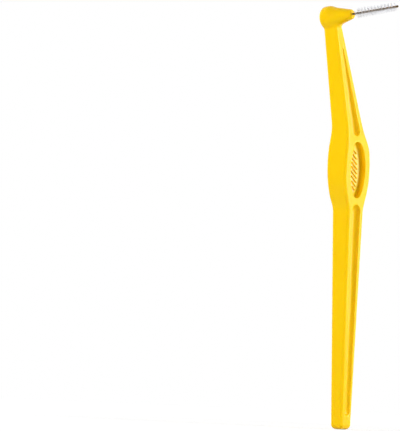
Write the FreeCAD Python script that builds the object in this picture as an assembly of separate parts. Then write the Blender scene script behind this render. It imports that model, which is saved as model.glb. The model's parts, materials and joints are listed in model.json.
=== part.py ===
import FreeCAD, Part
import math
import os

Vector = FreeCAD.Vector

# An interdental brush: a long moulded handle with a wire brush set across its leaning neck.
# +Z runs up the grip, +X is the way the brush points, and the part mirrors about Y = 0.
# The origin is the middle of the flat tail end. Sizes are millimetres and degrees.

# Grip, from the tail end up to the thumb plate
GRIP_LENGTH = 73.8
TAIL_WIDTH = 5.7
TAIL_DEPTH = 4.7
GRIP_WIDTH = 8.72
GRIP_DEPTH = 7.05

# Thumb plate: its flanks and straight side follow one another up from the grip
LOWER_FLANK = 7.7
PLATE_SIDE = 10.1
UPPER_FLANK = 8.3
PLATE_WIDTH = 14.26
PLATE_DEPTH = 7.6
BACK_STEP = 3.4

# Neck, which leans back from a bend within the plate
NECK_RISE = 37.55
NECK_LEAN = 13.35
NECK_SETBACK = 1.55
NECK_FOOT_WIDTH = 9.26
NECK_FOOT_DEPTH = 7.1
NECK_TOP_WIDTH = 3.4
NECK_TOP_DEPTH = 5.34

# Rounding of the outlines, in the order they meet going up
LOWER_SHOULDER_RADIUS = 12.0
LOWER_FLANK_RADIUS = 26.0
UPPER_FLANK_RADIUS = 30.0
UPPER_SHOULDER_RADIUS = 25.0
BACK_STEP_RADIUS = 15.0
BACK_BEND_RADIUS = 40.0
FRONT_BEND_RADIUS = 15.0

# Rounding of the edges
LONG_EDGE_RADIUS = 1.05
TAIL_EDGE_RADIUS = 1.6
RIM_RADIUS = 0.3
HEAD_FILLET = 1.6

# Head, a short drum lying along the brush axis and drawn out into a nose
BRUSH_TILT = 9.5
HEAD_SETBACK = 0.84
HEAD_DROP = 0.54
HEAD_DIAMETER = 8.0
HEAD_BACK = 1.93
HEAD_RIM_RADIUS = 1.5
CROWN_REACH = 1.47
CROWN_RADIUS = 3.8
WAIST_REACH = 3.1
WAIST_DIAMETER = 6.4
WAIST_RADIUS = 8.0
NOSE_LENGTH = 9.7
NOSE_DIAMETER = 3.26
NOSE_CHAMFER = 0.3

# Thumb recess in the plate
RECESS_LENGTH = 18.6
RECESS_WIDTH = 8.0
RECESS_DEPTH = 1.9
RECESS_END_RADIUS = 2.4
RECESS_FLOOR_RADIUS = 0.35

# Grooves, each cut by a cone whose axis lies a little in front of the face
GROOVE_WALL = 2.2
LOWER_GROOVE_TAIL_GAP = 4.6
LOWER_GROOVE_TAIL_WIDTH = 2.8
LOWER_GROOVE_TAIL_DEPTH = 0.8
LOWER_GROOVE_TOP_WIDTH = 4.5
LOWER_GROOVE_TOP_DEPTH = 1.6
UPPER_GROOVE_LENGTH = 26.5
UPPER_GROOVE_FOOT_WIDTH = 4.2
UPPER_GROOVE_FOOT_DEPTH = 1.6
UPPER_GROOVE_TOP_WIDTH = 0.8
UPPER_GROOVE_TOP_DEPTH = 0.3

# Core wire, folded at the tip with its two legs twisted together
STRAND_DIAMETER = 0.28
STRAND_GAP = 0.12
STRAND_SIDES = 5
TWIST_PITCH = 2.74
UNTWIST_LENGTH = 0.6
BARE_LENGTH = 19.0
SET_LENGTH = 7.0
BORE_CLEARANCE = 0.04
BORE_SPARE = 0.4

# Filaments, clamped between the legs
FILAMENT_DIAMETER = 0.08
FILAMENT_SIDES = 4
FILAMENTS_PER_FAN = 15
ROOT_BRUSH_DIAMETER = 3.8
TIP_BRUSH_DIAMETER = 2.9
FIRST_FILAMENT = 1.6

# Places worked out from the sizes above
FRONT = TAIL_DEPTH / 2
PLATE_LOW = GRIP_LENGTH + LOWER_FLANK
PLATE_HIGH = PLATE_LOW + PLATE_SIDE
PLATE_MIDDLE = (PLATE_LOW + PLATE_HIGH) / 2
PLATE_TOP = PLATE_HIGH + UPPER_FLANK
NECK_TOP = PLATE_TOP + NECK_RISE
NECK_FRONT = FRONT - NECK_SETBACK
NECK_BACK = NECK_FRONT - NECK_FOOT_DEPTH
NECK_TOP_MIDDLE = (NECK_FRONT + NECK_BACK) / 2 - NECK_RISE * math.tan(math.radians(NECK_LEAN))
NECK_TOP_FRONT = NECK_TOP_MIDDLE + NECK_TOP_DEPTH / 2
NECK_TOP_BACK = NECK_TOP_MIDDLE - NECK_TOP_DEPTH / 2
NECK_FRONT_RATE = (NECK_TOP_FRONT - NECK_FRONT) / NECK_RISE
BEND_HEIGHT = PLATE_TOP + NECK_SETBACK / NECK_FRONT_RATE
HEAD_CENTRE = Vector(NECK_TOP_MIDDLE - HEAD_SETBACK, 0, NECK_TOP - HEAD_DROP)
HEAD_PLACEMENT = FreeCAD.Placement(HEAD_CENTRE, FreeCAD.Rotation(Vector(0, 1, 0), -BRUSH_TILT))
TWIST_RADIUS = (STRAND_DIAMETER + STRAND_GAP) / 2
STEM_DIAMETER = 2 * TWIST_RADIUS + STRAND_DIAMETER
WIRE_START = NOSE_LENGTH - SET_LENGTH
LOOP_START = NOSE_LENGTH + BARE_LENGTH - TWIST_RADIUS - STRAND_DIAMETER / 2
TWIST_END = LOOP_START - UNTWIST_LENGTH
TWIST_RATE = 2 * math.pi / TWIST_PITCH
LOOP_TURN = TWIST_RATE * (TWIST_END + UNTWIST_LENGTH / 2 - WIRE_START)
FAN_COUNT = math.floor((TWIST_END - NOSE_LENGTH - FIRST_FILAMENT) / (TWIST_PITCH / 2))
SEAM_REACH = 1e-3


def twist_turn(place):
    """Angle of the first leg about the brush axis at a place along it."""
    return TWIST_RATE * (place - WIRE_START)


def line(start, end):
    """A straight edge between two points."""
    return Part.LineSegment(start, end).toShape()


def rounded_run(points, radii):
    """Straight runs from point to point, with each corner between them rounded to its radius."""
    edges = []
    start = points[0]
    for before, corner, after, radius in zip(points, points[1:], points[2:], radii):
        back = (before - corner).normalize()
        onward = (after - corner).normalize()
        half_angle = back.getAngle(onward) / 2
        reach = radius / math.tan(half_angle)
        inset = radius / math.sin(half_angle) - radius
        first = corner + back * reach
        last = corner + onward * reach
        middle = corner + (back + onward).normalize() * inset
        edges.append(line(start, first))
        edges.append(Part.Arc(first, middle, last).toShape())
        start = last
    edges.append(line(start, points[-1]))
    return edges


def outline_face(right, left):
    """A face between two long sides, closed along the tail and inside the head."""
    tail = line(left[0].Vertexes[0].Point, right[0].Vertexes[0].Point)
    top = line(left[-1].Vertexes[-1].Point, right[-1].Vertexes[-1].Point)
    edges = Part.__sortEdges__([tail, *right, top, *left])
    return Part.Face(Part.Wire(edges))


def front_outline():
    """The handle seen along X: the taper of the grip, the leaf of the plate and the thin neck."""
    widths = [
        (0, TAIL_WIDTH),
        (GRIP_LENGTH, GRIP_WIDTH),
        (PLATE_LOW, PLATE_WIDTH),
        (PLATE_HIGH, PLATE_WIDTH),
        (PLATE_TOP, NECK_FOOT_WIDTH),
        (NECK_TOP, NECK_TOP_WIDTH),
    ]
    radii = [LOWER_SHOULDER_RADIUS, LOWER_FLANK_RADIUS, UPPER_FLANK_RADIUS, UPPER_SHOULDER_RADIUS]
    right = rounded_run([Vector(0, width / 2, height) for height, width in widths], radii)
    left = rounded_run([Vector(0, -width / 2, height) for height, width in widths], radii)
    return outline_face(right, left)


def side_outline():
    """The handle seen along Y: a flat front that bends into the neck, and a back with a step at the plate."""
    front = rounded_run(
        [Vector(FRONT, 0, 0), Vector(FRONT, 0, BEND_HEIGHT), Vector(NECK_TOP_FRONT, 0, NECK_TOP)],
        [FRONT_BEND_RADIUS],
    )
    back = rounded_run(
        [
            Vector(FRONT - TAIL_DEPTH, 0, 0),
            Vector(FRONT - GRIP_DEPTH, 0, GRIP_LENGTH),
            Vector(FRONT - PLATE_DEPTH, 0, GRIP_LENGTH + BACK_STEP),
            Vector(NECK_BACK, 0, PLATE_TOP),
            Vector(NECK_TOP_BACK, 0, NECK_TOP),
        ],
        [BACK_STEP_RADIUS, BACK_STEP_RADIUS, BACK_BEND_RADIUS],
    )
    return outline_face(front, back)


def extrude_both_ways(face, way):
    """A prism that runs as far in front of the face as behind it."""
    face.translate(-way)
    return face.extrude(2 * way)


def is_long_edge(edge):
    """True for the edges that run up the handle, and not for those round its two ends."""
    box = edge.BoundBox
    return box.ZLength > max(box.XLength, box.YLength)


def handle_blank():
    """Grip, plate and neck: what the front and side outlines have in common, with rounded edges."""
    reach = PLATE_WIDTH + NECK_RISE
    front = extrude_both_ways(front_outline(), Vector(reach, 0, 0))
    side = extrude_both_ways(side_outline(), Vector(0, reach, 0))
    blank = front.common(side).Solids[0]
    blank = blank.makeFillet(LONG_EDGE_RADIUS, [e for e in blank.Edges if is_long_edge(e)])
    tail = [e for e in blank.Edges if e.BoundBox.ZMax < TAIL_EDGE_RADIUS / 10]
    return blank.makeFillet(TAIL_EDGE_RADIUS, tail)


def front_face(height):
    """X of the front face where a groove runs: the flat of the grip, or the neck above the plate."""
    if height < BEND_HEIGHT:
        return FRONT
    return NECK_FRONT + NECK_FRONT_RATE * (height - PLATE_TOP)


def groove_circle(width, depth):
    """Radius of a groove's round section, and how far its centre stands off the face."""
    radius = (width * width / 4 + depth * depth) / (2 * depth)
    return radius, radius - depth


def groove_cutter(low, low_width, low_depth, high, high_width, high_depth):
    """A cone with balls for ends, each tangent to it, that sinks into the front face."""
    low_radius, low_stand = groove_circle(low_width, low_depth)
    high_radius, high_stand = groove_circle(high_width, high_depth)
    low_centre = Vector(front_face(low) + low_stand, 0, low)
    way = Vector(front_face(high) + high_stand, 0, high) - low_centre
    taper = math.asin((low_radius - high_radius) / way.Length)

    def on_ball(centre, radius, turn):
        return Vector(centre + radius * math.cos(turn), 0, radius * math.sin(turn))

    touch = math.pi / 2 - taper
    low_pole = on_ball(0, low_radius, math.pi)
    low_touch = on_ball(0, low_radius, touch)
    high_touch = on_ball(way.Length, high_radius, touch)
    high_pole = on_ball(way.Length, high_radius, 0)
    low_ball = Part.Arc(low_pole, on_ball(0, low_radius, (math.pi + touch) / 2), low_touch).toShape()
    high_ball = Part.Arc(high_touch, on_ball(way.Length, high_radius, touch / 2), high_pole).toShape()
    profile = Part.Wire([low_ball, line(low_touch, high_touch), high_ball, line(high_pole, low_pole)])
    cutter = Part.Solid(Part.Face(profile).revolve(Vector(0, 0, 0), Vector(1, 0, 0), 360))
    cutter.Placement = FreeCAD.Placement(low_centre, FreeCAD.Rotation(Vector(1, 0, 0), way))
    return cutter


def lower_groove():
    """The long groove down the grip, widest below the thumb plate."""
    low = LOWER_GROOVE_TAIL_GAP + LOWER_GROOVE_TAIL_WIDTH / 2
    high = PLATE_MIDDLE - RECESS_LENGTH / 2 - GROOVE_WALL - LOWER_GROOVE_TOP_WIDTH / 2
    return groove_cutter(
        low, LOWER_GROOVE_TAIL_WIDTH, LOWER_GROOVE_TAIL_DEPTH,
        high, LOWER_GROOVE_TOP_WIDTH, LOWER_GROOVE_TOP_DEPTH,
    )


def upper_groove():
    """The groove up the neck, widest at its foot and fading towards the head."""
    low = PLATE_MIDDLE + RECESS_LENGTH / 2 + GROOVE_WALL + UPPER_GROOVE_FOOT_WIDTH / 2
    return groove_cutter(
        low, UPPER_GROOVE_FOOT_WIDTH, UPPER_GROOVE_FOOT_DEPTH,
        low + UPPER_GROOVE_LENGTH, UPPER_GROOVE_TOP_WIDTH, UPPER_GROOVE_TOP_DEPTH,
    )


def oval(centre):
    """The mouth of the thumb recess: two long arcs joined by two tight ones, all tangent."""
    half_length = RECESS_LENGTH / 2
    half_width = RECESS_WIDTH / 2
    end_offset = half_length - RECESS_END_RADIUS
    spare = half_width * half_width - RECESS_END_RADIUS * RECESS_END_RADIUS
    side_radius = (end_offset * end_offset + spare) / (2 * (half_width - RECESS_END_RADIUS))
    side_offset = side_radius - half_width
    way = Vector(0, side_offset, end_offset).normalize()
    touch_across = way.y * side_radius - side_offset
    touch_up = way.z * side_radius

    def corner(across, up):
        return centre + Vector(0, across, up)

    right = Part.Arc(corner(touch_across, -touch_up), corner(half_width, 0), corner(touch_across, touch_up))
    top = Part.Arc(corner(touch_across, touch_up), corner(0, half_length), corner(-touch_across, touch_up))
    left = Part.Arc(corner(-touch_across, touch_up), corner(-half_width, 0), corner(-touch_across, -touch_up))
    foot = Part.Arc(corner(-touch_across, -touch_up), corner(0, -half_length), corner(touch_across, -touch_up))
    return Part.Wire([arc.toShape() for arc in (right, top, left, foot)])


def thumb_recess():
    """An oval pocket with a flat floor and a rounded foot to its wall."""
    floor = Vector(FRONT - RECESS_DEPTH, 0, PLATE_MIDDLE)
    pocket = Part.Face(oval(floor)).extrude(Vector(PLATE_DEPTH, 0, 0))
    foot = [e for e in pocket.Edges if e.BoundBox.XMax < floor.x + RECESS_DEPTH / 10]
    return pocket.makeFillet(RECESS_FLOOR_RADIUS, foot)


def head():
    """A drum with a flat back and a rounded rim, drawn out along the brush axis into a blunt nose."""
    radius = HEAD_DIAMETER / 2
    back = Vector(-HEAD_BACK, 0, 0)
    rim = Vector(-HEAD_BACK, 0, radius)
    crown = Vector(CROWN_REACH, 0, radius)
    waist = Vector(WAIST_REACH, 0, WAIST_DIAMETER / 2)
    nose = Vector(NOSE_LENGTH - NOSE_CHAMFER, 0, NOSE_DIAMETER / 2)
    nose_rim = Vector(NOSE_LENGTH, 0, NOSE_DIAMETER / 2 - NOSE_CHAMFER)
    nose_middle = Vector(NOSE_LENGTH, 0, 0)
    flank = rounded_run([back, rim, crown, waist, nose], [HEAD_RIM_RADIUS, CROWN_RADIUS, WAIST_RADIUS])
    blunt_end = [line(nose, nose_rim), line(nose_rim, nose_middle)]
    profile = Part.Wire([*flank, *blunt_end, line(nose_middle, back)])
    drum = Part.Solid(Part.Face(profile).revolve(Vector(0, 0, 0), Vector(1, 0, 0), 360))
    drum.Placement = HEAD_PLACEMENT
    return drum


def seam(shape, first, second):
    """The edges of a shape that lie where two of its forms meet."""
    meeting = first.section(second)
    found = []
    for edge in shape.Edges:
        middle = edge.valueAt((edge.FirstParameter + edge.LastParameter) / 2)
        if meeting.distToShape(Part.Vertex(middle))[0] < SEAM_REACH:
            found.append(edge)
    return found


def wire_bore():
    """The blind hole along the brush axis that the twisted wire is set in."""
    depth = SET_LENGTH + BORE_SPARE
    radius = STEM_DIAMETER / 2 + BORE_CLEARANCE
    bore = Part.makeCylinder(radius, 2 * depth, Vector(NOSE_LENGTH - depth, 0, 0), Vector(1, 0, 0))
    bore.Placement = HEAD_PLACEMENT
    return bore


def handle():
    """The whole moulding, with softened rims and the hole for the wire."""
    blank = handle_blank()
    drum = head()
    body = blank.fuse(drum)
    body = body.makeFillet(HEAD_FILLET, seam(body, blank, drum))
    cutters = [thumb_recess(), lower_groove(), upper_groove()]
    for cutter in cutters:
        cut = body.cut(cutter)
        body = cut.makeFillet(RIM_RADIUS, seam(cut, body, cutter))
    return body.cut(wire_bore()).Solids[0]


def strand_station(place, turn, rate, leg):
    """A leg's centre and direction at a place along the axis, for a twist of so many radians per mm."""
    radius = leg * TWIST_RADIUS
    centre = Vector(place, radius * math.cos(turn), radius * math.sin(turn))
    way = Vector(1, -radius * rate * math.sin(turn), radius * rate * math.cos(turn))
    return centre, way.normalize()


def arc_from(start, way, end):
    """The arc that leaves start along a direction and reaches end."""
    chord = end - start
    lean = way.getAngle(chord)
    control = start + way * (chord.Length / 2 / math.cos(lean))
    middle = (start + end) / 2
    bulge = (control - middle).normalize() * (chord.Length / 2 * math.tan(lean / 2))
    return Part.Arc(start, middle + bulge, end).toShape()


def biarc(first, second):
    """Two arcs that share a tangent and join one station to the next."""
    (start, start_way), (end, end_way) = first, second
    chord = end - start
    a = 2 * (start_way.dot(end_way) - 1)
    b = -2 * chord.dot(start_way + end_way)
    c = chord.dot(chord)
    reach = -c / b if abs(a) < 1e-9 else (-b - math.sqrt(b * b - 4 * a * c)) / (2 * a)
    joint = (start + start_way * reach + end - end_way * reach) / 2
    return [arc_from(start, start_way, joint), arc_from(end, end_way * -1, joint)]


def leg_stations(leg):
    """Stations up one leg: half turns of the twist, then a short stretch that runs out straight."""
    count = math.ceil((TWIST_END - WIRE_START) / (TWIST_PITCH / 2))
    step = (TWIST_END - WIRE_START) / count
    stations = []
    for index in range(count + 1):
        place = WIRE_START + index * step
        stations.append(strand_station(place, twist_turn(place), TWIST_RATE, leg))
    stations.append(strand_station(LOOP_START, LOOP_TURN, 0, leg))
    return stations


def core_wire():
    """One wire: up a twisted leg, round the hairpin loop at the tip and down the other leg."""
    up = leg_stations(1)
    down = leg_stations(-1)
    path = []
    for first, second in zip(up, up[1:]):
        path.extend(biarc(first, second))
    tip = Vector(LOOP_START + TWIST_RADIUS, 0, 0)
    path.append(arc_from(up[-1][0], up[-1][1], tip))
    path.append(arc_from(down[-1][0], down[-1][1], tip))
    for first, second in reversed(list(zip(down, down[1:]))):
        path.extend(reversed(biarc(first, second)))
    start, way = up[0]
    section = Part.makePolygon(ring(start, way, STRAND_DIAMETER / 2, STRAND_SIDES))
    spine = Part.Wire(Part.__sortEdges__(path))
    wire = spine.makePipeShell([section], True, False)
    wire.Placement = HEAD_PLACEMENT
    return wire


def ring(centre, way, radius, sides):
    """Corners of a closed polygon about a line."""
    placement = FreeCAD.Placement(centre, FreeCAD.Rotation(Vector(0, 0, 1), way))
    corners = []
    for index in range(sides + 1):
        turn = 2 * math.pi * index / sides
        corners.append(placement.multVec(Vector(radius * math.cos(turn), radius * math.sin(turn), 0)))
    return corners


def filament(place):
    """One straight filament through the axis, square to the plane of the two legs."""
    share = (place - NOSE_LENGTH) / BARE_LENGTH
    length = ROOT_BRUSH_DIAMETER + (TIP_BRUSH_DIAMETER - ROOT_BRUSH_DIAMETER) * share
    turn = twist_turn(place)
    way = Vector(0, -math.sin(turn), math.cos(turn))
    start = Vector(place, 0, 0) - way * (length / 2)
    section = Part.makePolygon(ring(start, way, FILAMENT_DIAMETER / 2, FILAMENT_SIDES))
    return Part.Face(section).extrude(way * length)


def filament_fan(number):
    """The filaments of one half turn of the twist, each a separate solid."""
    spacing = TWIST_PITCH / 2 / FILAMENTS_PER_FAN
    first = NOSE_LENGTH + FIRST_FILAMENT + number * TWIST_PITCH / 2 + spacing / 2
    fan = Part.Compound([filament(first + index * spacing) for index in range(FILAMENTS_PER_FAN)])
    fan.Placement = HEAD_PLACEMENT
    return fan


os.makedirs("parts", exist_ok=True)
pieces = {"handle": handle(), "core_wire": core_wire()}
for number in range(FAN_COUNT):
    pieces[f"filament_fan_{number + 1:02d}"] = filament_fan(number)
for name, shape in pieces.items():
    shape.exportStep(f"parts/{name}.step")
    print(name, len(shape.Solids), "solids", round(shape.Volume, 4), "mm3", shape.isValid())
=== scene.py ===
# %% [markdown]
# # A moulded interdental brush
# This small dental tool is a yellow plastic handle with a tiny wire brush standing out of its head. The
# engineering model already fixes every size and place, so the lesson loads it first and then only dresses
# it: finishes for the plastic, a rounder twisted wire, and finer nylon filaments. The frame is in metres:
# +Z runs up the grip, +X is the way the brush points, and Y = 0 is the mirror plane.

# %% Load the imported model
import json
import math
import random

import bpy
from mathutils import Matrix, Vector


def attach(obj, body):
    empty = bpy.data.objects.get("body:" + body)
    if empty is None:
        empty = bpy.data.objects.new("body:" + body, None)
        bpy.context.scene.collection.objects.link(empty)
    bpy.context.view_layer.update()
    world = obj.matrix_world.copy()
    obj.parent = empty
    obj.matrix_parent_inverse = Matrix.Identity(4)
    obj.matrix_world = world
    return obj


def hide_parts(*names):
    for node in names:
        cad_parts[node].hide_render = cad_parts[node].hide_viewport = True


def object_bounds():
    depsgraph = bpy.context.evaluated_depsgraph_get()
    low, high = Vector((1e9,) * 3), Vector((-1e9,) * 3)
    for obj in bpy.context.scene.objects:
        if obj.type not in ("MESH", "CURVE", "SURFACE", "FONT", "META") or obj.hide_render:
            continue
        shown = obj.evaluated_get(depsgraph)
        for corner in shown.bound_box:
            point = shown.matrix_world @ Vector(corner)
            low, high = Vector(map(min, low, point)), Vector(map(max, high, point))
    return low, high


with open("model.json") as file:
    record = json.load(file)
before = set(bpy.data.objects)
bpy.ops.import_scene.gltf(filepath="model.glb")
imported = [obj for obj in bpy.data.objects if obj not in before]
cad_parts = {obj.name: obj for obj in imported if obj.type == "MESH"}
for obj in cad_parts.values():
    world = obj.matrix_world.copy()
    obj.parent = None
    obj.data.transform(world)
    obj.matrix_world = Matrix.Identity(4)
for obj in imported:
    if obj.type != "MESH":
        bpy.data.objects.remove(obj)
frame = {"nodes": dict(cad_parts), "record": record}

MM = 0.001
CAD_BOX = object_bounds()
scene = bpy.context.scene
scene.view_settings.view_transform = "Standard"


def in_mm(corners):
    """The corners of a box in millimetres, rounded for printing."""
    return [tuple(round(value / MM, 2) for value in corner) for corner in corners]


print("loaded", len(frame["nodes"]), "nodes, box", in_mm(CAD_BOX), "mm")

# %% [markdown]
# ## A habit for working with operators
# An operator acts on whatever is selected, and loading leaves all the engineering parts selected. Each new
# piece could be sorted out from them afterwards, but it is safer to begin every one with an empty selection.


# %% Empty selection
def start_clean():
    """Leaves nothing selected, in object mode."""
    if bpy.context.mode != "OBJECT":
        bpy.ops.object.mode_set(mode="OBJECT")
    bpy.ops.object.select_all(action="DESELECT")


start_clean()
print("selected", len(bpy.context.selected_objects), "objects")

# %% [markdown]
# ## The camera
# The brush is seen a little from its side, 37 degrees round from square on, at the height of its middle.
# Its edges stay parallel in the picture, so the camera stands far off with a long lens. The object also
# leans a little to the right in the frame. The object could be tipped to match, but then its own upright
# frame would be lost, so the camera is rolled by that angle instead.

# %% Camera
PHOTO_WIDTH = 400
PHOTO_HEIGHT = 431
PIXELS_PER_MM = 3.0
TAIL_PIXEL = (340.46, 429.4)  # the middle of the tail's flat, in a frame of 400 x 431
CAMERA_AZIMUTH = math.radians(37)
CAMERA_ROLL = math.radians(2.66)
LENS = 1000
SENSOR = 36

side_way = Vector((math.cos(CAMERA_AZIMUTH), math.sin(CAMERA_AZIMUTH), 0))
camera_back = Vector((math.sin(CAMERA_AZIMUTH), -math.cos(CAMERA_AZIMUTH), 0))
upright = Vector((0, 0, 1))
camera_right = side_way * math.cos(CAMERA_ROLL) + upright * math.sin(CAMERA_ROLL)
camera_up = upright * math.cos(CAMERA_ROLL) - side_way * math.sin(CAMERA_ROLL)
across = (PHOTO_WIDTH / 2 - TAIL_PIXEL[0]) / PIXELS_PER_MM * MM
above = (TAIL_PIXEL[1] - PHOTO_HEIGHT / 2) / PIXELS_PER_MM * MM
aim = camera_right * across + camera_up * above
distance = PHOTO_HEIGHT / 2 / PIXELS_PER_MM * MM * LENS / (SENSOR / 2)

start_clean()
bpy.ops.object.camera_add(location=aim + camera_back * distance)
camera = bpy.context.active_object
camera.data.lens = LENS
camera.data.sensor_width = SENSOR
camera.rotation_euler = Matrix((camera_right, camera_up, camera_back)).transposed().to_euler()
scene.camera = camera
print("camera stands", round(distance, 3), "m from the picture plane")

# %% [markdown]
# ## Small helpers for shader nodes
# A finish is a chain of small nodes: one maps a value onto a range, one multiplies two masks, one measures
# a length. Made by hand, each takes several lines, so a helper for each kind keeps the chains readable. The
# floor needs these few, and the finishes of the brush add some more.


# %% Node helpers
def ranged(nodes, links, value, wanted, given=(0, 1)):
    """Maps a value from one range of numbers onto another, and holds it at the ends."""
    span = nodes.new("ShaderNodeMapRange")
    for name, level in zip(("From Min", "From Max", "To Min", "To Max"), (*given, *wanted)):
        span.inputs[name].default_value = level
    links.new(value, span.inputs["Value"])
    return span.outputs["Result"]


def calculate(nodes, links, operation, *values):
    """One operation of arithmetic on values from other nodes."""
    step = nodes.new("ShaderNodeMath")
    step.operation = operation
    for value, socket in zip(values, step.inputs):
        links.new(value, socket)
    return step.outputs[0]


def length_of(nodes, links, vector):
    """The length of a vector from another node."""
    step = nodes.new("ShaderNodeVectorMath")
    step.operation = "LENGTH"
    links.new(vector, step.inputs[0])
    return step.outputs["Value"]


def own_place(nodes):
    """The place of each point in the coordinates of its object."""
    return nodes.new("ShaderNodeTexCoord").outputs["Object"]


print("node helpers ready")

# %% [markdown]
# ## The white floor
# The object is pictured on pure white. A white floor alone would come out grey in its own shading, so
# what the camera sees of it is a plain white glow mixed with a real diffuse surface, which keeps the
# contact shadow. Towards the rim the glow takes over altogether, so that the edge of the floor doesn't
# show against the white behind it.

# %% Floor
FLOOR_SIDES = 64
FLOOR_RADIUS = 0.35
PAPER_GREY = (0.6, 0.6, 0.6, 1)
GLOW_REACH = (0.1, 0.33)  # metres from the middle, where the glow starts to grow and where it is full
GLOW_SHARE = (0.3, 1.0)  # share of glow in the floor at those two distances
GLOW_STRENGTH = (1.85, 1.0)  # strength there, higher where grey paper is mixed in


def white_rays(nodes, links):
    """A value of 1 for the rays that should see white: from the camera, in reflections and through glass."""
    rays = nodes.new("ShaderNodeLightPath").outputs
    direct = calculate(nodes, links, "MAXIMUM", rays["Is Camera Ray"], rays["Is Glossy Ray"])
    return calculate(nodes, links, "MAXIMUM", direct, rays["Is Transmission Ray"])


def floor_white():
    """Matt paper that glows white for the camera, more so towards the rim."""
    finish = bpy.data.materials.new("studio_floor_white")
    finish.use_nodes = True
    nodes = finish.node_tree.nodes
    links = finish.node_tree.links
    nodes.clear()
    out_from_middle = length_of(nodes, links, own_place(nodes))
    paper = nodes.new("ShaderNodeBsdfDiffuse")
    paper.inputs["Color"].default_value = PAPER_GREY
    glow = nodes.new("ShaderNodeEmission")
    links.new(ranged(nodes, links, out_from_middle, GLOW_STRENGTH, GLOW_REACH), glow.inputs["Strength"])
    share = ranged(nodes, links, out_from_middle, GLOW_SHARE, GLOW_REACH)
    blend = nodes.new("ShaderNodeMixShader")
    links.new(calculate(nodes, links, "MULTIPLY", white_rays(nodes, links), share), blend.inputs["Fac"])
    links.new(paper.outputs[0], blend.inputs[1])
    links.new(glow.outputs[0], blend.inputs[2])
    links.new(blend.outputs[0], nodes.new("ShaderNodeOutputMaterial").inputs["Surface"])
    return finish


start_clean()
bpy.ops.mesh.primitive_circle_add(
    vertices=FLOOR_SIDES, radius=FLOOR_RADIUS, fill_type="NGON", location=(0, 0, CAD_BOX[0].z)
)
floor = bpy.context.active_object
floor.name = "studio_floor"
floor.data.materials.append(floor_white())
print("floor is", 2 * FLOOR_RADIUS, "m across")

# %% [markdown]
# ## The white surroundings
# A product photographer hangs white paper all round. Here the world is that paper: white for the camera,
# in reflections and through the clear filaments. As a light it is much weaker, and weakest from above and
# below, because the softboxes do the lighting and a bright sky would wash the colour out.

# %% World
AMBIENT = (0.1, 0.05)  # strength as a light, from level and from straight above or below

world = bpy.data.worlds.new("studio_white")
scene.world = world
world.use_nodes = True
nodes = world.node_tree.nodes
links = world.node_tree.links
sky = nodes["Background"]
sky.inputs["Color"].default_value = (1, 1, 1, 1)
heights = nodes.new("ShaderNodeSeparateXYZ")
links.new(nodes.new("ShaderNodeTexCoord").outputs["Generated"], heights.inputs[0])
steep = calculate(nodes, links, "ABSOLUTE", heights.outputs["Z"])
level = nodes.new("ShaderNodeMix")
level.inputs["B"].default_value = 1
links.new(white_rays(nodes, links), level.inputs["Factor"])
links.new(ranged(nodes, links, steep, AMBIENT), level.inputs["A"])
links.new(level.outputs["Result"], sky.inputs["Strength"])
print("world is white to look at, and", AMBIENT, "strong as a light")

# %% [markdown]
# ## Five softboxes
# The plain side of the handle and its grooved front are both bright, and the rounded edge between them
# rolls softly from one to the other. A single lamp would leave one of them dark, so one softbox stands
# square to the side and one before the front. A weak one beyond the far side gives that edge its pale
# rim, and two fills, above the camera and behind the handle's back, keep the shade open. The left one and
# the fills are kept out of reflections, because the side shows full colour with no sheen.

# %% Softboxes
STUDIO_MIDDLE = Vector((0, 0, 72 * MM))
LAMP_REACH = 0.6
SOFTBOX_WIDTH = 0.3
SOFTBOX_HEIGHT = 0.4


def softbox(name, azimuth, elevation, watts, in_reflections):
    """A rectangular lamp at an angle round the object from +X and above the level, facing its middle."""
    turn = math.radians(azimuth)
    rise = math.radians(elevation)
    level_way = Vector((math.cos(turn), math.sin(turn), 0))
    way = level_way * math.cos(rise) + upright * math.sin(rise)
    start_clean()
    bpy.ops.object.light_add(type="AREA", location=STUDIO_MIDDLE + way * LAMP_REACH)
    lamp = bpy.context.active_object
    lamp.name = name
    lamp.data.shape = "RECTANGLE"
    lamp.data.size = SOFTBOX_WIDTH
    lamp.data.size_y = SOFTBOX_HEIGHT
    lamp.data.energy = watts
    lamp.rotation_euler = way.to_track_quat("Z", "Y").to_euler()
    lamp.visible_glossy = in_reflections


softbox("left_softbox", azimuth=-92, elevation=22, watts=2.8, in_reflections=False)
softbox("camera_fill", azimuth=-53, elevation=18, watts=0.6, in_reflections=False)
softbox("back_fill", azimuth=180, elevation=25, watts=2.2, in_reflections=False)
softbox("right_softbox", azimuth=37, elevation=15, watts=4.3, in_reflections=True)
softbox("rim_softbox", azimuth=84, elevation=5, watts=1.0, in_reflections=True)

# %% [markdown]
# ## A mottle that every finish shares
# No moulded, drawn or extruded surface is perfectly even. Each finish could have its own noise, but one
# small node group serves them all: a soft cloud for slow changes and a fine grain on top, both read from
# the object's own coordinates so that they stay on the part in any view. Each finish places the group
# with its own sizes.

# %% Shared mottle group
NOISE_DETAIL = {"Cloud": 2, "Grain": 4}


def mottle_group():
    """A node group that puts out a slow cloud and a fine grain, each from 0 to 1."""
    group = bpy.data.node_groups.new("surface_mottle", "ShaderNodeTree")
    for name in NOISE_DETAIL:
        group.interface.new_socket(name + " Scale", in_out="INPUT", socket_type="NodeSocketFloat")
    for name in NOISE_DETAIL:
        group.interface.new_socket(name, in_out="OUTPUT", socket_type="NodeSocketFloat")
    nodes = group.nodes
    links = group.links
    given = nodes.new("NodeGroupInput")
    made = nodes.new("NodeGroupOutput")
    place = own_place(nodes)
    for name, detail in NOISE_DETAIL.items():
        noise = nodes.new("ShaderNodeTexNoise")
        noise.inputs["Detail"].default_value = detail
        links.new(place, noise.inputs["Vector"])
        links.new(given.outputs[name + " Scale"], noise.inputs["Scale"])
        links.new(noise.outputs["Fac"], made.inputs[name])
    return group


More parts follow.
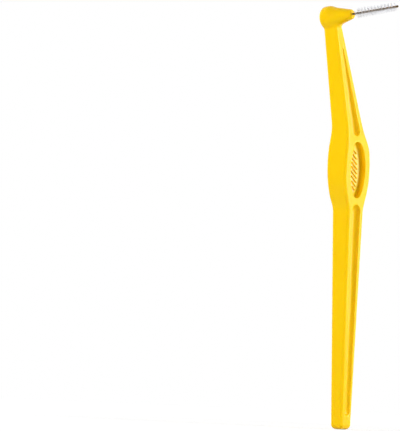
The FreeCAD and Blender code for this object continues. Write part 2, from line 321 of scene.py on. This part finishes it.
MOTTLE = mottle_group()
print("group outputs", [s.name for s in MOTTLE.interface.items_tree if s.in_out == "OUTPUT"])


# %% Finish helpers
def new_finish(name, sockets):
    """A material whose Principled shader has some plain values set, with its nodes and links."""
    finish = bpy.data.materials.new(name)
    finish.use_nodes = True
    nodes = finish.node_tree.nodes
    shader = nodes["Principled BSDF"]
    for socket, value in sockets.items():
        shader.inputs[socket].default_value = value
    return finish, shader, nodes, finish.node_tree.links


def place_mottle(nodes, cloud_size, grain_size):
    """The cloud and the grain of the mottle group, with the sizes of their spots in metres."""
    mottle = nodes.new("ShaderNodeGroup")
    mottle.node_tree = MOTTLE
    mottle.inputs["Cloud Scale"].default_value = 1 / cloud_size
    mottle.inputs["Grain Scale"].default_value = 1 / grain_size
    return mottle.outputs["Cloud"], mottle.outputs["Grain"]


def mask(nodes, name):
    """The values of a named attribute of the mesh."""
    attribute = nodes.new("ShaderNodeAttribute")
    attribute.attribute_name = name
    return attribute.outputs["Fac"]


def between_colours(nodes, links, value, first, second):
    """Runs from a first colour, plain or from another node, to a plain second one as a value goes up to 1."""
    mix = nodes.new("ShaderNodeMix")
    mix.data_type = "RGBA"
    if isinstance(first, bpy.types.NodeSocket):
        links.new(first, mix.inputs["A"])
    else:
        mix.inputs["A"].default_value = (*first, 1)
    mix.inputs["B"].default_value = (*second, 1)
    links.new(value, mix.inputs["Factor"])
    return mix.outputs["Result"]


def bump(nodes, links, height, depth, under=None):
    """A bump of so many metres, laid over another one where it is given."""
    relief = nodes.new("ShaderNodeBump")
    relief.inputs["Strength"].default_value = 1
    relief.inputs["Distance"].default_value = depth
    links.new(height, relief.inputs["Height"])
    if under is not None:
        links.new(under, relief.inputs["Normal"])
    return relief.outputs["Normal"]


print("finish helpers ready")

# %% [markdown]
# ## Yellow moulded plastic
# The handle is polypropylene, coloured right through and moulded in a smooth steel tool, so it has a soft
# satin gloss. Under that gloss the colour shifts a very little where the melt flowed, and the skin has a
# faint waviness as it shrinks. Colour, roughness and two depths of bump all come from the shared mottle.
# The floor of the thumb rest gets a paler yellow, a painted sheen. That could be a second material, but a
# mask in this one lets the painted sheen fade out towards the wall of the oval.

# %% Thumb rest fade
MOUNTS = {mount["name"]: mount for mount in frame["record"]["mounts"]}
THUMB_REST = Vector(MOUNTS["thumb_rest"]["pos_m"])
OVAL_HALF_WIDTH = 3.9 * MM
OVAL_HALF_LENGTH = 9.2 * MM
SHEEN_FADE = (0.65, 0.9)  # shares of the oval's half sizes, where the painted sheen starts to fade and where it ends


def vector_step(nodes, links, operation, vector, amount):
    """One operation of vector arithmetic with a plain amount."""
    step = nodes.new("ShaderNodeVectorMath")
    step.operation = operation
    step.inputs[1].default_value = amount
    links.new(vector, step.inputs[0])
    return step.outputs["Vector"]


def oval_middle(nodes, links):
    """A value of 1 over the middle of the thumb rest's oval that fades to 0 towards its wall."""
    from_middle = vector_step(nodes, links, "SUBTRACT", own_place(nodes), THUMB_REST)
    half_sizes = (1, OVAL_HALF_WIDTH, OVAL_HALF_LENGTH)  # a whole metre of depth, so that it hardly counts
    share = length_of(nodes, links, vector_step(nodes, links, "DIVIDE", from_middle, half_sizes))
    return ranged(nodes, links, share, (1, 0), SHEEN_FADE)


print("thumb rest middle", in_mm([THUMB_REST])[0], "mm")

# %% Handle plastic
YELLOW = (0.90, 0.575, 0.0006)
YELLOW_DEEP = (0.885, 0.55, 0.0004)
# painted sheen: the paler yellow of the thumb rest's floor
YELLOW_PAINTED_SHEEN = (0.93, 0.76, 0.2)
FLOW_SIZE = 7 * MM
FLOW_DEPTH = 0.04 * MM
SKIN_GRAIN = 0.25 * MM
SKIN_DEPTH = 0.0015 * MM
SATIN = (0.2, 0.32)  # roughness
PLASTIC_SOCKETS = {
    "Specular IOR Level": 0.14,
    "IOR": 1.49,
    "Subsurface Weight": 0.25,
    "Subsurface Radius": (1.0, 0.4, 0.05),
    "Subsurface Scale": 1.2 * MM,
}


def handle_plastic():
    """Satin yellow plastic with faint flow marks, a fine skin and a painted sheen on the thumb rest."""
    finish, shader, nodes, links = new_finish("yellow_polypropylene", PLASTIC_SOCKETS)
    flow, skin = place_mottle(nodes, FLOW_SIZE, SKIN_GRAIN)
    # painted sheen over the middle of the thumb rest's floor
    sheen_painted = calculate(nodes, links, "MULTIPLY", mask(nodes, "painted_sheen"), oval_middle(nodes, links))
    colour = between_colours(nodes, links, flow, YELLOW_DEEP, YELLOW)
    links.new(between_colours(nodes, links, sheen_painted, colour, YELLOW_PAINTED_SHEEN), shader.inputs["Base Color"])
    links.new(ranged(nodes, links, skin, SATIN), shader.inputs["Roughness"])
    waves = bump(nodes, links, flow, FLOW_DEPTH)
    links.new(bump(nodes, links, skin, SKIN_DEPTH, waves), shader.inputs["Normal"])
    return finish


PLASTIC = handle_plastic()
print("made", PLASTIC.name)

# %% [markdown]
# ## The handle
# Head, neck, thumb plate and grip are one moulding. It could be modelled again, but its engineering mesh
# already has the right shape, so a copy of that is merged into one skin. The copy then takes the small
# relief and the shading that the engineering part doesn't need.

# %% Handle copy
MERGE_GAP = 0.001 * MM


def work_on(piece):
    """Makes one object the selected and active one."""
    start_clean()
    piece.select_set(True)
    bpy.context.view_layer.objects.active = piece


def handle_moulding():
    """A copy of the engineering handle, merged into one skin."""
    mesh = frame["nodes"]["handle"].data.copy()
    piece = bpy.data.objects.new("handle_moulding", mesh)
    scene.collection.objects.link(piece)
    work_on(piece)
    bpy.ops.object.mode_set(mode="EDIT")
    bpy.ops.mesh.select_all(action="SELECT")
    bpy.ops.mesh.customdata_custom_splitnormals_clear()
    bpy.ops.mesh.remove_doubles(threshold=MERGE_GAP)
    bpy.ops.object.mode_set(mode="OBJECT")
    return piece


handle = handle_moulding()
print("handle copy has", len(handle.data.vertices), "points and", len(handle.data.polygons), "faces")

# %% [markdown]
# ## Ribs in the thumb rest
# The floor of the oval thumb rest carries a low raised relief, so that a wet thumb doesn't slip. Here it
# is a row of plain slanted ribs, shorter towards the ends as the oval is. A bump could fake them, but
# real ribs throw real shadows. One rib is a cube drawn out to size, turned to the slant, with its upper
# edges bevelled round. The edges are chosen by a rule about their place, which is what a modeller does by
# eye with box select. Because the ribs are part of the same moulding, a Boolean modifier melts them into it.


# %% Picking and joining
def clear_picks(piece):
    """Takes the selection off every face, edge and point, in object mode."""
    bpy.ops.object.mode_set(mode="OBJECT")
    for part in (*piece.data.polygons, *piece.data.edges, *piece.data.vertices):
        part.select = False


def pick_edges(piece, rule):
    """In edit mode, selects the edges whose two ends fit a rule."""
    clear_picks(piece)
    points = piece.data.vertices
    for edge in piece.data.edges:
        edge.select = rule(points[edge.vertices[0]].co, points[edge.vertices[1]].co)
    scene.tool_settings.mesh_select_mode = (False, True, False)
    bpy.ops.object.mode_set(mode="EDIT")


def join_pieces(pieces):
    """Joins several objects into the first of them."""
    start_clean()
    for piece in pieces:
        piece.select_set(True)
    bpy.context.view_layer.objects.active = pieces[0]
    bpy.ops.object.join()
    return pieces[0]


print("helpers ready for the ribs")

# %% One rib
RIB_COUNT = 9
RIB_PITCH = 1.5 * MM
RIB_WIDTH = 0.32 * MM
RIB_HEIGHT = 0.5 * MM
RIB_LENGTH = 4.2 * MM
RIB_END_LENGTH = 2.2 * MM
RIB_ROOT = 0.2 * MM  # sunk in the floor
RIB_ROUND = 0.12 * MM
RIB_ROUND_STEPS = 3
RIB_SLANT = math.radians(-38)


def thumb_rib(index):
    """One slanted rib with rounded upper edges, its foot sunk in the floor."""
    step = index - (RIB_COUNT - 1) / 2
    share = abs(step) / ((RIB_COUNT - 1) / 2)
    length = RIB_LENGTH + (RIB_END_LENGTH - RIB_LENGTH) * share * share
    middle = THUMB_REST + Vector(((RIB_HEIGHT - RIB_ROOT) / 2, 0, step * RIB_PITCH))
    start_clean()
    bpy.ops.mesh.primitive_cube_add(size=1, location=middle, rotation=(RIB_SLANT, 0, 0))
    rib = bpy.context.active_object
    rib.dimensions = (RIB_HEIGHT + RIB_ROOT, length, RIB_WIDTH)
    bpy.ops.object.transform_apply(location=True, rotation=True, scale=True)
    bpy.ops.object.mode_set(mode="EDIT")
    pick_edges(rib, lambda a, b: max(a.x, b.x) > THUMB_REST.x)
    bpy.ops.mesh.bevel(offset=RIB_ROUND, segments=RIB_ROUND_STEPS, affect="EDGES")
    bpy.ops.object.mode_set(mode="OBJECT")
    return rib


rib_row = join_pieces([thumb_rib(index) for index in range(RIB_COUNT)])
print("row of ribs is", round(rib_row.dimensions.z / MM, 2), "mm long")


# %% Ribs into the handle
def apply_modifiers(piece):
    """Makes every modifier of a piece part of its mesh."""
    work_on(piece)
    for modifier in list(piece.modifiers):
        bpy.ops.object.modifier_apply(modifier=modifier.name)


union = handle.modifiers.new("ribs", "BOOLEAN")
union.operation = "UNION"
union.solver = "EXACT"
union.object = rib_row
apply_modifiers(handle)
bpy.data.objects.remove(rib_row)
print("handle with ribs has", len(handle.data.polygons), "faces")

# %% [markdown]
# ## A painted sheen on the thumb rest
# The floor of the thumb rest is painted a paler yellow, a painted sheen. A mask on the faces of that floor
# tells the finish where to turn paler. It sits on faces and not on points, so that none of it runs up the
# wall or the ribs.

# %% Painted sheen mask
FLOOR_SLACK = 0.03 * MM


def on_thumb_floor(co):
    """True for a place on the floor of the thumb rest."""
    if abs(co.y) > OVAL_HALF_WIDTH or abs(co.z - THUMB_REST.z) > OVAL_HALF_LENGTH:
        return False
    return THUMB_REST.x - FLOOR_SLACK < co.x < THUMB_REST.x + FLOOR_SLACK


# the faces of the thumb rest's floor, which take the painted sheen
painted_sheen = handle.data.attributes.new("painted_sheen", "FLOAT", "FACE")
for face, value in zip(handle.data.polygons, painted_sheen.data):
    value.value = 1.0 if on_thumb_floor(face.center) else 0.0
print("frosted faces", sum(1 for value in painted_sheen.data if value.value))

# %% [markdown]
# ## Shading the moulding
# On the real handle flat faces stay flat, the rounded edges between them roll over smoothly, and only
# true corners are sharp. More faces would get there in the end, but two tools do it on the mesh as it is.
# Smooth shading by angle keeps the corners, and a Weighted Normal modifier lets the large flat faces
# lead.

# %% Handle shading
SHARP_ANGLE = math.radians(32)

work_on(handle)
bpy.ops.object.shade_smooth_by_angle(angle=SHARP_ANGLE)
level_normals = handle.modifiers.new("flat_faces_lead", "WEIGHTED_NORMAL")
level_normals.mode = "FACE_AREA"
level_normals.keep_sharp = True
apply_modifiers(handle)
handle.data.materials.clear()
handle.data.materials.append(PLASTIC)
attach(handle, "root")
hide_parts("handle")
print("handle measures", in_mm([handle.dimensions])[0], "mm")

# %% [markdown]
# ## Coated steel wire
# The wire is stainless steel in a thin dark brown plastic coat. A paler brown is painted along the crests of
# the twist as a painted highlight, so that the valleys read as shade. Bare metal would mirror the white
# studio and turn silver, so the finish is mostly the coat: a brown with little metal in it, uneven roughness,
# and a thin clear layer for small glints. A mask made with the wire says how far out on a crest each point
# is, and so where the painted highlight goes.

# %% Wire finish
COAT_DARK = (0.045, 0.024, 0.006)
# painted highlight: the paler brown along the crests of the twist
COAT_PAINTED_HIGHLIGHT = (0.28, 0.165, 0.04)
COAT_PATCH = 0.6 * MM
COAT_GRAIN = 0.05 * MM
COAT_GRAIN_DEPTH = 0.002 * MM
CREST_HIGHLIGHT_SPREAD = (0.7, 1.2)  # how much of the painted highlight on a crest shows, from patch to patch
COAT_ROUGHNESS = (0.25, 0.5)
WIRE_SOCKETS = {
    "Metallic": 0.1,
    "Specular IOR Level": 0.3,
    "Coat Weight": 0.1,
    "Coat Roughness": 0.2,
}


def coated_wire():
    """Brown coated wire, with a painted highlight of paler brown on its crests."""
    finish, shader, nodes, links = new_finish("coated_steel_wire", WIRE_SOCKETS)
    patches, grain = place_mottle(nodes, COAT_PATCH, COAT_GRAIN)
    highlight_spread = ranged(nodes, links, patches, CREST_HIGHLIGHT_SPREAD)
    # painted highlight on the crests, stronger in some patches than in others
    crest_highlight = calculate(nodes, links, "MULTIPLY", mask(nodes, "painted_crest_highlight"), highlight_spread)
    links.new(between_colours(nodes, links, crest_highlight, COAT_DARK, COAT_PAINTED_HIGHLIGHT), shader.inputs["Base Color"])
    links.new(ranged(nodes, links, grain, COAT_ROUGHNESS), shader.inputs["Roughness"])
    links.new(bump(nodes, links, grain, COAT_GRAIN_DEPTH), shader.inputs["Normal"])
    return finish


WIRE = coated_wire()
print("made", WIRE.name)

# %% [markdown]
# ## The twisted wire
# A maker folds one wire into a hairpin, lays the filaments between its two legs and twists them shut. A
# curve along two helices would look much the same, but the maker's own steps work here too. A small disc
# is extruded up one leg, spun half a turn over the top and extruded down the other leg. Two Simple Deform
# modifiers then twist it, the second running on a little further, so that the twist eases out before the
# loop at the tip. The strands are drawn with their coat, so they touch along the middle and hold the
# filaments there.

# %% Brush sizes
BRUSH_TIP = Vector(MOUNTS["brush_passage"]["pos_m"])
BRUSH_WAY = Vector(MOUNTS["brush_passage"]["axis"]).normalized()
BARE_LENGTH = 19.0 * MM
SET_LENGTH = 7.0 * MM
TWIST_PITCH = 2.74 * MM
LEG_OFFSET = 0.2 * MM
STRAND_RADIUS = 0.2 * MM
LOOP_SPREAD = 0.6 * MM
WIRE_LENGTH = SET_LENGTH + BARE_LENGTH
LEG_LENGTH = WIRE_LENGTH - LEG_OFFSET - STRAND_RADIUS
WIRE_FOOT = BRUSH_TIP - BRUSH_WAY * WIRE_LENGTH
ACROSS = Vector((0, 1, 0))
BRUSH_UP = BRUSH_WAY.cross(ACROSS)
ONTO_BRUSH = Matrix.Translation(WIRE_FOOT) @ Matrix((ACROSS, BRUSH_UP, BRUSH_WAY)).transposed().to_4x4()


def twist_turn(place):
    """Angle of the first leg at a distance up the wire from its foot."""
    return 2 * math.pi * place / TWIST_PITCH


print("wire is", round(WIRE_LENGTH / MM, 2), "mm long with", round(WIRE_LENGTH / TWIST_PITCH, 1), "turns")

# %% Hairpin
STRAND_SIDES = 14
LOOP_STEPS = 12
LEG_CUTS = 15
CUT_ROUNDS = 2
LONG_EDGE = LEG_LENGTH / LEG_CUTS / 1.5  # longer than a step of the loop, shorter than a first cut of a leg


def hairpin():
    """A straight hairpin of round wire standing on the origin, its legs cut fine enough to twist."""
    start_clean()
    bpy.ops.mesh.primitive_circle_add(
        vertices=STRAND_SIDES, radius=STRAND_RADIUS, fill_type="NGON", location=(LEG_OFFSET, 0, 0)
    )
    piece = bpy.context.active_object
    piece.name = "twisted_wire"
    bpy.ops.object.transform_apply(location=True, rotation=False, scale=False)
    bpy.ops.object.mode_set(mode="EDIT")
    bpy.ops.mesh.select_all(action="SELECT")
    bpy.ops.mesh.extrude_region_move(TRANSFORM_OT_translate={"value": (0, 0, LEG_LENGTH)})
    bpy.ops.mesh.spin(steps=LOOP_STEPS, angle=math.pi, center=(0, 0, LEG_LENGTH), axis=(0, 1, 0))
    bpy.ops.mesh.extrude_region_move(TRANSFORM_OT_translate={"value": (0, 0, -LEG_LENGTH)})
    for cut_round in range(CUT_ROUNDS):
        pick_edges(piece, lambda a, b: abs(a.z - b.z) > LONG_EDGE)
        bpy.ops.mesh.subdivide(number_cuts=LEG_CUTS - 1)
    bpy.ops.mesh.select_all(action="SELECT")
    bpy.ops.mesh.normals_make_consistent(inside=False)
    bpy.ops.object.mode_set(mode="OBJECT")
    return piece


wire = hairpin()
print("hairpin stands", round(wire.dimensions.z / MM, 3), "mm tall with", len(wire.data.polygons), "faces")

# %% Twist and finish
HIGHLIGHT_START = 0.55  # share of the twist's radius where the painted highlight on the crests begins
WIRE_SHARP_ANGLE = math.radians(50)

for end in (LEG_LENGTH - LOOP_SPREAD, LEG_LENGTH):
    twist = wire.modifiers.new("twist", "SIMPLE_DEFORM")
    twist.deform_method = "TWIST"
    twist.deform_axis = "Z"
    twist.limits = (0, end / WIRE_LENGTH)
    twist.angle = twist_turn(end) / 2
apply_modifiers(wire)
# how far out on a crest each point is, which places the painted highlight
painted_crest_highlight = wire.data.attributes.new("painted_crest_highlight", "FLOAT", "POINT")
for point, value in zip(wire.data.vertices, painted_crest_highlight.data):
    out = math.hypot(point.co.x, point.co.y) / (LEG_OFFSET + STRAND_RADIUS)
    value.value = max(0, out - HIGHLIGHT_START) / (1 - HIGHLIGHT_START)
wire.data.transform(ONTO_BRUSH)
work_on(wire)
bpy.ops.object.shade_smooth_by_angle(angle=WIRE_SHARP_ANGLE)
wire.data.materials.append(WIRE)
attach(wire, "root")
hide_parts("core_wire")

# %% [markdown]
# ## Clear nylon
# The filaments are clear drawn nylon, each thinner than a hair. Against white they almost vanish, and
# what shows is a grey edge here and there. Pure glass would vanish altogether in white surroundings, so
# only part of their light passes through. A soft mottle keeps neighbours from looking alike.

# %% Filament finish
NYLON_CLEAR = (0.88, 0.88, 0.9)
NYLON_GREY = (0.62, 0.62, 0.66)
NYLON_PATCH = 0.5 * MM
NYLON_GRAIN = 0.08 * MM
NYLON_ROUGHNESS = (0.2, 0.45)
NYLON_SOCKETS = {"Transmission Weight": 0.6, "IOR": 1.53}


def clear_nylon():
    """Pale translucent nylon."""
    finish, shader, nodes, links = new_finish("clear_nylon", NYLON_SOCKETS)
    patches, grain = place_mottle(nodes, NYLON_PATCH, NYLON_GRAIN)
    links.new(between_colours(nodes, links, patches, NYLON_GREY, NYLON_CLEAR), shader.inputs["Base Color"])
    links.new(ranged(nodes, links, grain, NYLON_ROUGHNESS), shader.inputs["Roughness"])
    return finish


NYLON = clear_nylon()
print("made", NYLON.name)

# %% [markdown]
# ## The filaments
# Each filament lies across the axis, gripped between the two legs, so a run of them winds round as the
# wire does. One filament is modelled from a five-sided prism, cut across and bowed a little at its ends.
# A particle system could scatter it, but copies made in a loop can follow the twist exactly. A seeded
# draw gives every copy its own lean, roll and trim, which is what makes a brush look like a brush and not
# a screw.

# %% One filament
FILAMENT_RADIUS = 0.028 * MM
FILAMENT_SIDES = 5
FILAMENT_CUTS = 3
END_BOWS = (0.0, 0.06 * MM, 0.12 * MM, 0.18 * MM)
HALF_LENGTH = 0.5  # of a filament before it is trimmed
BOWED_LEVELS = (HALF_LENGTH, HALF_LENGTH / 2)
LEVEL_SLACK = 0.01


def pick_points(piece, rule):
    """In edit mode, selects the points whose place fits a rule."""
    clear_picks(piece)
    for point in piece.data.vertices:
        point.select = rule(point.co)
    scene.tool_settings.mesh_select_mode = (True, False, False)
    bpy.ops.object.mode_set(mode="EDIT")


def filament_model(bow):
    """A filament one metre long before it is trimmed, lying along Z with its ends bowed towards X."""
    start_clean()
    bpy.ops.mesh.primitive_cylinder_add(
        vertices=FILAMENT_SIDES, radius=FILAMENT_RADIUS, depth=2 * HALF_LENGTH
    )
    piece = bpy.context.active_object
    bpy.ops.object.mode_set(mode="EDIT")
    pick_edges(piece, lambda a, b: abs(a.z - b.z) > HALF_LENGTH)
    bpy.ops.mesh.subdivide(number_cuts=FILAMENT_CUTS)
    for level in BOWED_LEVELS:
        pick_points(piece, lambda co: abs(abs(co.z) - level) < LEVEL_SLACK)
        bpy.ops.transform.translate(value=(bow * (level / HALF_LENGTH) ** 2, 0, 0))
    bpy.ops.object.mode_set(mode="OBJECT")
    return piece


models = [filament_model(bow) for bow in END_BOWS]
print("filament models have", [len(model.data.polygons) for model in models], "faces")

# %% One filament's place
TURN_SPREAD = 0.09  # radians
LEAN_SPREAD = 0.05  # radians
SHORTEST_TRIM = 0.94  # share of the full length
SEED = 7
draw = random.Random(SEED)


def filament_place(place, diameter):
    """Where one filament lies: across the axis at a place up the wire, with a little freedom."""
    turn = Matrix.Rotation(twist_turn(place) + draw.gauss(0, TURN_SPREAD), 4, "Z")
    lean = Matrix.Rotation(math.pi / 2 + draw.gauss(0, LEAN_SPREAD), 4, "X")
    roll = Matrix.Rotation(draw.uniform(0, 2 * math.pi), 4, "Z")
    trim = Matrix.Diagonal((1, 1, diameter * draw.uniform(SHORTEST_TRIM, 1.0), 1))
    return ONTO_BRUSH @ Matrix.Translation((0, 0, place)) @ turn @ lean @ trim @ roll


print("filaments lean by about", round(math.degrees(LEAN_SPREAD), 1), "degrees either way")

# %% All the filaments
FAN_COUNT = 12
FILAMENTS_PER_FAN = 28
FIRST_FILAMENT = 1.6 * MM
ROOT_DIAMETER = 3.8 * MM
TIP_DIAMETER = 2.9 * MM
SHIFT_IN_ROW = (0.2, 0.8)  # shares of the step between neighbours
FILAMENT_SHARP_ANGLE = math.radians(80)


def filament_fan(number):
    """The filaments of one half turn of the twist, as one object."""
    span = TWIST_PITCH / 2
    first = SET_LENGTH + FIRST_FILAMENT + number * span
    copies = []
    for index in range(FILAMENTS_PER_FAN):
        place = first + span * (index + draw.uniform(*SHIFT_IN_ROW)) / FILAMENTS_PER_FAN
        share = (place - SET_LENGTH) / BARE_LENGTH
        diameter = ROOT_DIAMETER + (TIP_DIAMETER - ROOT_DIAMETER) * share
        mesh = models[draw.randrange(len(models))].data.copy()
        mesh.transform(filament_place(place, diameter))
        copy = bpy.data.objects.new("filament", mesh)
        scene.collection.objects.link(copy)
        copies.append(copy)
    fan = join_pieces(copies)
    fan.name = f"filaments_{number + 1:02d}"
    bpy.ops.object.shade_smooth_by_angle(angle=FILAMENT_SHARP_ANGLE)
    fan.data.materials.append(NYLON)
    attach(fan, "root")
    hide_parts(f"filament_fan_{number + 1:02d}")
    return fan


fans = [filament_fan(number) for number in range(FAN_COUNT)]
for model in models:
    bpy.data.objects.remove(model)
print("filaments", len(fans) * FILAMENTS_PER_FAN, "in", len(fans), "pieces")
